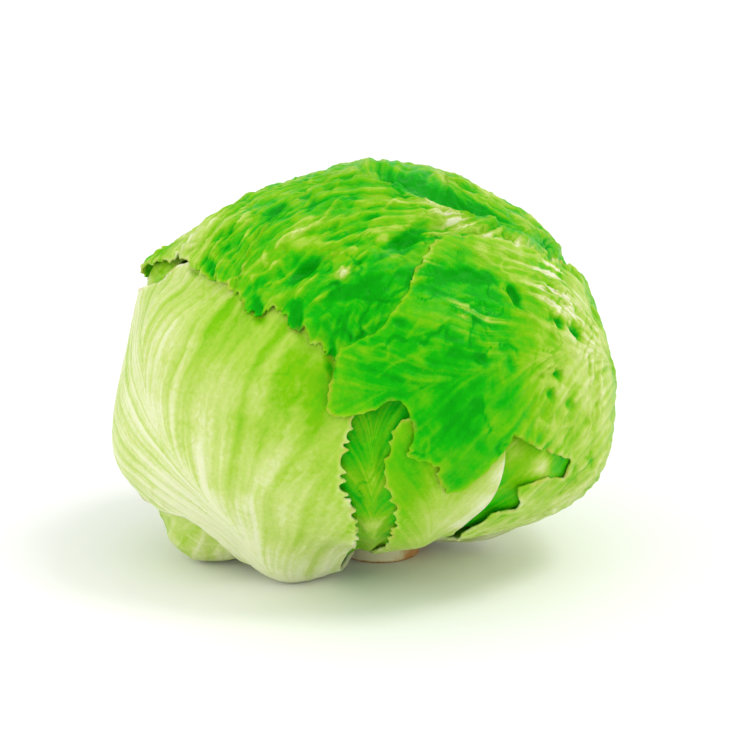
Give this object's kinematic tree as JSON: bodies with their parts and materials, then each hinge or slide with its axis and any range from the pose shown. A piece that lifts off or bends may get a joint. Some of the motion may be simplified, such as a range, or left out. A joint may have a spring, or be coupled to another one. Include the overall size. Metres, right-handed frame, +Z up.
{
  "type": "lettuce",
  "caption": "Crisphead lettuce as cut: overlapping waved wrapper leaves round a dense heart on a short cut stem, standing on the cut.",
  "frame": {"origin": "middle of the stem's flat cut face, which the head stands on", "axes": "+Z up through the head, -Y towards the front that the picture shows, +X to the right of that front"},
  "size_m": [0.1634, 0.1519, 0.1304],
  "materials": {
    "stem": "cream cut stem, damp, browned in patches at the cut",
    "heart": "pale yellow-green inner leaves packed close",
    "leaf_deep_green": "waxy living leaf, a little see-through, satin with small soft highlights",
    "leaf_mid_green": "waxy living leaf, a little see-through, satin with small soft highlights",
    "leaf_pale": "waxy living leaf, a little see-through, satin with small soft highlights",
    "leaf_pale_ribbed": "waxy living leaf, a little see-through, satin with small soft highlights",
    "leaf_streaked_green": "waxy living leaf, a little see-through, satin with small soft highlights",
    "leaf_glossy_green": "waxy living leaf, a little see-through, satin with small soft highlights"
  },
  "bodies": {
    "root": {"stem": "stem", "heart": "heart", "leaf_under": "leaf_deep_green", "leaf_back_left": "leaf_mid_green", "leaf_front": "leaf_pale", "leaf_left": "leaf_pale_ribbed", "leaf_crown": "leaf_streaked_green", "leaf_right": "leaf_glossy_green"}
  },
  "joints": []
}
